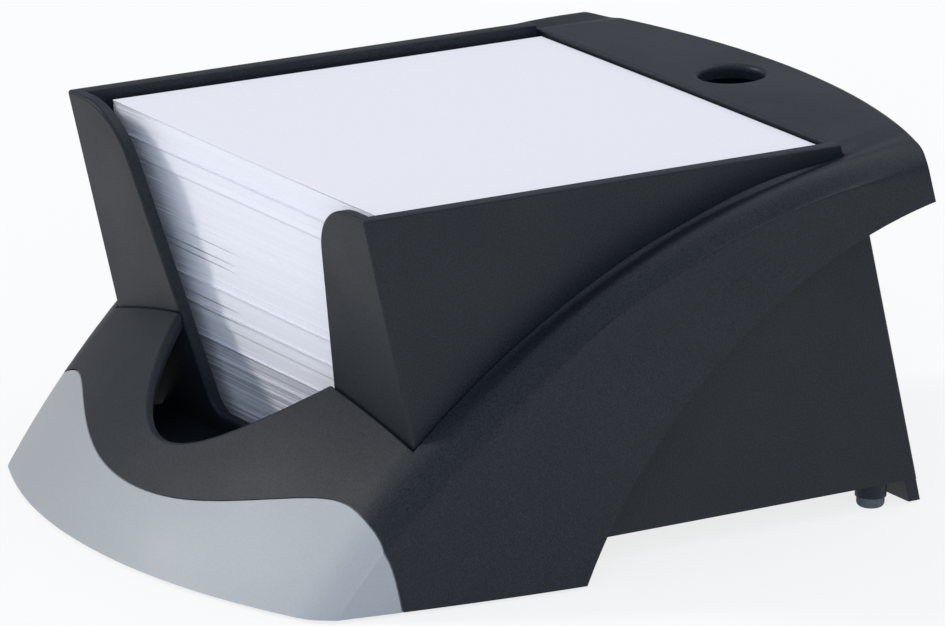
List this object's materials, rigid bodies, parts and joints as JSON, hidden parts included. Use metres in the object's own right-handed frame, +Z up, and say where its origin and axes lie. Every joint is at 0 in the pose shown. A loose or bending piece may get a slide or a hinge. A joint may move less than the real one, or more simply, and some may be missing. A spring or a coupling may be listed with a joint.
{
  "type": "memo box",
  "caption": "Free-standing memo box: a leaning open tray holds loose square note sheets inside an arched cover with a finger notch, a grey front panel and a pen hole in the rear deck.",
  "frame": {"origin": "bottom centre of the whole box, on the surface that its rubber feet stand on", "axes": "+Z up, +Y towards the back from the finger notch to the pen hole, +X to the right seen from the front"},
  "size_m": [0.1176, 0.1467, 0.0679],
  "materials": {
    "anthracite_plastic": "fine-grained matte moulding, dark anthracite",
    "grey_plastic": "satin silver-grey moulding",
    "note_paper": "plain white paper",
    "foot_rubber": "matte rubber",
    "screw_steel": "zinc plated"
  },
  "bodies": {
    "housing": {"tray_body": "anthracite_plastic", "arch_cover": "anthracite_plastic", "pen_tube": "anthracite_plastic", "front_panel": "grey_plastic", "cover_screws": "screw_steel", "foot_front_left": "foot_rubber", "foot_front_right": "foot_rubber", "foot_rear_left": "foot_rubber", "foot_rear_right": "foot_rubber"},
    "paper_stack": {"paper_bundle_1": "note_paper", "paper_bundle_2": "note_paper", "paper_bundle_3": "note_paper", "paper_bundle_4": "note_paper", "paper_bundle_5": "note_paper", "paper_bundle_6": "note_paper"},
    "loose_sheet": {"top_sheet": "note_paper"}
  },
  "joints": [
    {"name": "stack_lift", "type": "slide", "parent": "housing", "child": "paper_stack", "axis": [0, -0.2487, 0.9686], "range_m": [0, 0.06]},
    {"name": "sheet_lift", "type": "slide", "parent": "paper_stack", "child": "loose_sheet", "axis": [0, -0.2487, 0.9686], "range_m": [0, 0.04]}
  ]
}
